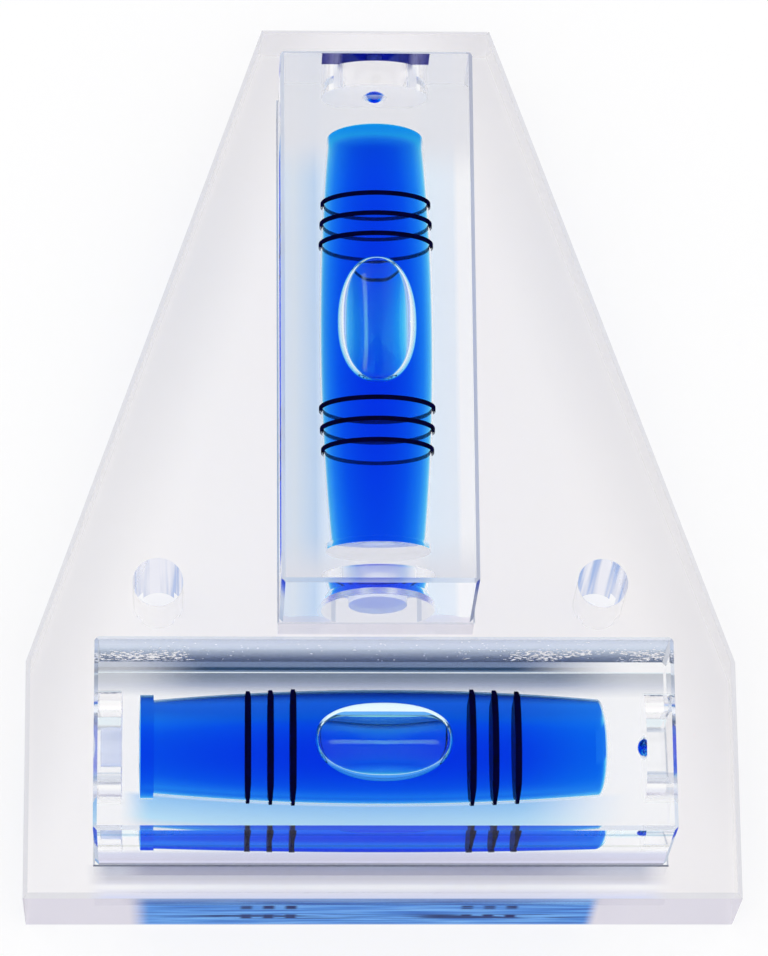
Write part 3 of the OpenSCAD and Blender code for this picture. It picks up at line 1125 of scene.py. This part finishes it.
for vial in ALONG:
    bubble = bubble_mesh(vial + "_air", vial, air(vial))
    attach(bubble, vial + "_bubble")
    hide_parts(vial + "_bubble")
    print(bubble.name, len(bubble.data.vertices), "vertices")

# %% [markdown]
# ## The tints of the glue
# The adhesive lines each pocket as a thin tray. It can't be seen as such, but it carries painted
# shade along the wall behind the lower vial, and painted blue light beside it. These are ramps across
# the tray that fade toward its ends, and Layer Weight keeps the shade for light that comes straight
# down.

# %% Glue tints
GLUE_GAP = 0.1 * MM
TRAY_LOW, TRAY_HIGH = BOX["horizontal_adhesive"]
tray_depth = (TRAY_HIGH.y - TRAY_LOW.y) / MM
tray_rise = (plate_face - TRAY_LOW.z) / MM
# painted blue light and shade on the floor of the lower tray
TRAY_FRONT_SHADING = [(-1.0, (0.86, 0.85, 0.88)), (1.4, (0.86, 0.86, 0.9)), (1.9, (0.55, 0.83, 1.0)),
              (3.0, (0.34, 0.63, 0.96)), (3.22, WHITE), (5.0, WHITE)]
# painted shade behind the lower vial
TRAY_BACK_SHADE = [(8.8, WHITE), (tray_depth - 0.75, (0.4, 0.45, 0.58)), (tray_depth - 0.55, (0.3, 0.35, 0.45)),
             (tray_depth - 0.3, (0.22, 0.27, 0.36)), (tray_depth, (0.22, 0.27, 0.36))]
# painted shade up the far wall of the lower tray
TRAY_WALL_SHADE = [(0.0, (0.24, 0.31, 0.43)), (0.4, (0.2, 0.28, 0.41)), (0.6, (0.03, 0.07, 0.15)),
             (1.2, (0.03, 0.07, 0.15)), (1.6, (0.19, 0.26, 0.41)), (tray_rise, (0.19, 0.25, 0.4))]
# lighter painted shade where light skims the floor or meets the wall head-on
SKIM_FLOOR_SHADE = (0.94, 0.94, 0.95)
HEAD_ON_WALL_SHADE = (0.9, 0.98, 1.0)


def lower_tray_painted_shading(spots):
    middle = MIDDLE["horizontal"].x
    along = minus(spots[0], middle)
    sag = calc("DIVIDE", times(along, along), 2 * ARC_RADIUS)
    away = calc("ABSOLUTE", along)
    right = ease(spots[0], middle + 6.5 * MM, middle + 13.0 * MM)
    front_ends = any_of(ease(away, 11.6 * MM, 13.4 * MM), right)
    back_ends = ease(away, 8.5 * MM, 13.4 * MM, 0.0, 0.5)
    skim = add("ShaderNodeLayerWeight", {"Blend": 0.5}).outputs["Facing"]
    follow = minus(spots[1], sag)
    front = colour_steps(follow, TRAY_LOW.y, MM, TRAY_FRONT_SHADING)
    front = mix_colour(front_ends, front, WHITE)
    back = colour_steps(spots[1], TRAY_LOW.y, MM, TRAY_BACK_SHADE)
    back = mix_colour(ease(skim, 0.12, 0.3), back, SKIM_FLOOR_SHADE)
    back = mix_colour(back_ends, back, WHITE)
    floor = mix_colour(1.0, front, back, "MULTIPLY")
    wall = colour_steps(spots[2], TRAY_LOW.z, MM, TRAY_WALL_SHADE)
    wall = mix_colour(any_of(back_ends, right), wall, WHITE)
    wall = mix_colour(ease(skim, 0.35, 0.7), HEAD_ON_WALL_SHADE, wall)
    far = more(spots[1], TRAY_HIGH.y - GLUE_GAP)
    return mix_colour(far, floor, wall)


print("lower tray", round(tray_depth, 2), "mm across and", round(tray_rise, 2), "mm high")

# %% [markdown]
# ## The glue of the upper vial
# Beside the upper vial the tray carries painted blue light, the pale blue that the liquid throws,
# more on the left, and toward both ends painted grey shade: another ramp. The rim of the glue shows
# as a fine line where a block enters the plate, so it has a tint of its own.

# %% Glue finish
UPPER_LOW, UPPER_HIGH = BOX["vertical_adhesive"]
upper_width = (UPPER_HIGH.x - UPPER_LOW.x) / MM
# painted blue light beside the upper vial
UPPER_SIDE_LIGHT = [(0.0, (0.75, 0.84, 0.94)), (0.9, (0.76, 0.83, 0.9)), (2.0, (0.6, 0.75, 0.92)),
               (2.5, (0.8, 0.9, 1.0)), (4.0, WHITE), (upper_width - 3.0, WHITE),
               (upper_width - 2.2, (0.84, 0.93, 1.0)), (upper_width - 0.9, (0.86, 0.92, 0.98)),
               (upper_width - 0.6, WHITE)]
# painted grey shade toward the ends of the upper tray, and on its front
UPPER_END_SHADE = (0.84, 0.84, 0.87)
UPPER_FRONT_SHADE = (0.96, 0.95, 0.97)
RIM_TINT = (0.6, 0.63, 0.7)
FRONT_RIM_TINT = each((0.2, 0.22, 0.29), (0.88, 0.88, 0.91))


def upper_tray_painted_shading(spots):
    sides = colour_steps(spots[0], UPPER_LOW.x, MM, UPPER_SIDE_LIGHT)
    ends = ease(apart(spots[1], MIDDLE["vertical"].y), 9.5 * MM, 12.5 * MM, 0.0, 0.9)
    across = mix_colour(ends, sides, UPPER_END_SHADE)
    front = less(spots[1], UPPER_LOW.y + GLUE_GAP)
    return mix_colour(front, across, UPPER_FRONT_SHADE)


TRAY_PAINTED_SHADING = each(lower_tray_painted_shading, upper_tray_painted_shading)


def glue_tint_and_shading(vial):
    material = new_material(vial + "_adhesive_painted_shading")
    spots = place()
    rim = more(spots[2], plate_face - 2 * HAIR)
    front = less(spots[1], BOX[vial + "_adhesive"][0].y + GLUE_GAP)
    rim_tint = mix_colour(front, RIM_TINT, FRONT_RIM_TINT[vial])
    tint = mix_colour(rim, TRAY_PAINTED_SHADING[vial](spots), rim_tint)
    output(Surface=shader("Transparent", {"Color": tint}))
    return material


print("upper tray", round(upper_width, 2), "mm wide")

# %% [markdown]
# ## The trays of glue
# A tray with two skins would tint the light twice and could flicker where it touches the acrylic.
# One sheet through the middle of the glue is enough: a floor, four walls and a narrow rim.

# %% Glue
def tray_mesh(name, vial, material):
    """A sheet through the middle of the glue: a floor, four walls and a rim."""
    low, high = BOX[vial + "_adhesive"]
    top_z = plate_face - HAIR
    shape = bmesh.new()

    def loop(inset, z):
        corners = [(low.x + inset, low.y + inset), (high.x - inset, low.y + inset),
                   (high.x - inset, high.y - inset), (low.x + inset, high.y - inset)]
        return [shape.verts.new((x, y, z)) for x, y in corners]

    base = loop(GLUE_GAP / 2, low.z + GLUE_GAP / 2)
    lip = loop(GLUE_GAP / 2, top_z - 2 * HAIR)
    outer = loop(0.05 * GLUE_GAP, top_z)
    inner = loop(0.95 * GLUE_GAP, top_z)
    shape.faces.new(base)
    for side in range(4):
        after = (side + 1) % 4
        shape.faces.new((base[side], base[after], lip[after], lip[side]))
        shape.faces.new((outer[side], outer[after], inner[after], inner[side]))
    return link_mesh(name, shape, material, smooth=False)


for vial in ALONG:
    tray = tray_mesh(vial + "_glue", vial, glue_tint_and_shading(vial))
    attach(tray, "level")
    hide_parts(vial + "_adhesive")
    print(tray.name, "tray of glue")

# %% [markdown]
# ## The floor
# A product photograph like this is taken on white paper. Paper that is only lit would come out
# grey, so it is drawn mostly as plain white, with a share of real lighting that keeps the shadow.
# Light that bounces on meets ordinary paper.

# %% Floor
FLOOR_SIZE = 4.0
FLOOR_DROP = 0.02 * MM
PAPER = (0.94, 0.94, 0.94)
SHADOW_SHARE = 0.22


def floor_finish():
    material = new_material("floor_white")
    path = add("ShaderNodeLightPath").outputs
    seen = any_of(*[path[ray] for ray in ("Is Camera Ray", "Is Glossy Ray", "Is Transmission Ray")])
    paper = shader("Diffuse", {"Color": PAPER})
    white = add("ShaderNodeEmission", {"Color": WHITE, "Strength": 1.0}).outputs[0]
    lit = mix_shader(SHADOW_SHARE, white, paper)
    output(Surface=mix_shader(seen, paper, lit))
    return material


floor_shape = bmesh.new()
bmesh.ops.create_grid(floor_shape, x_segments=1, y_segments=1, size=FLOOR_SIZE / 2)
floor = link_mesh("floor", floor_shape, floor_finish(), smooth=False)
floor.location.z = plate_low.z - FLOOR_DROP
print("floor", FLOOR_SIZE, "m wide")

# %% [markdown]
# ## The light
# The level was lit by large soft lamps. Area lights would do, but their edges would show in every
# polished face, so the world is one soft dome. A dark gap between its lamps, high on the far side,
# is what the flat tops of the vials mirror, and it keeps the blue and black deep.

# %% Light
SKY_STRENGTH = 1.2
GAP_STRENGTH = 0.03
GAP_DIRECTION = Vector((0.037, 0.321, 0.946)).normalized()
SKY_STEPS = [(0.0, (0.82, 0.8, 0.81)), (0.6, WHITE)]

world = bpy.data.worlds.new("studio")
bpy.context.scene.world = world
world.use_nodes = True
tree = world.node_tree
tree.nodes.clear()
direction = add("ShaderNodeTexCoord").outputs["Generated"]
height = add("ShaderNodeSeparateXYZ", {"Vector": direction}).outputs["Z"]
dome = colour_steps(height, 0.0, 1.0, SKY_STEPS)
toward_gap = add("ShaderNodeVectorMath", {0: direction, 1: GAP_DIRECTION}, operation="DOT_PRODUCT")
lamps = ease(toward_gap.outputs["Value"], 0.955, 0.975, SKY_STRENGTH, GAP_STRENGTH)
sky = add("ShaderNodeBackground", {"Color": dome, "Strength": lamps})
add("ShaderNodeOutputWorld", {"Surface": sky.outputs[0]})
print("sky strength", SKY_STRENGTH, "with a gap of", GAP_STRENGTH)

# %% [markdown]
# ## The view
# Light crosses many clear surfaces before it reaches the table, so it may bounce often. Glossy blur
# is off, because it would soften what is seen through the glass, and the Standard view keeps white
# white.

# %% View settings
scene = bpy.context.scene
scene.view_settings.view_transform = "Standard"
scene.cycles.use_denoising = True
scene.cycles.blur_glossy = 0.0
scene.cycles.max_bounces = 40
scene.cycles.transmission_bounces = 32
scene.cycles.glossy_bounces = 16
scene.cycles.diffuse_bounces = 6
scene.cycles.transparent_max_bounces = 64
print("up to", scene.cycles.max_bounces, "bounces")
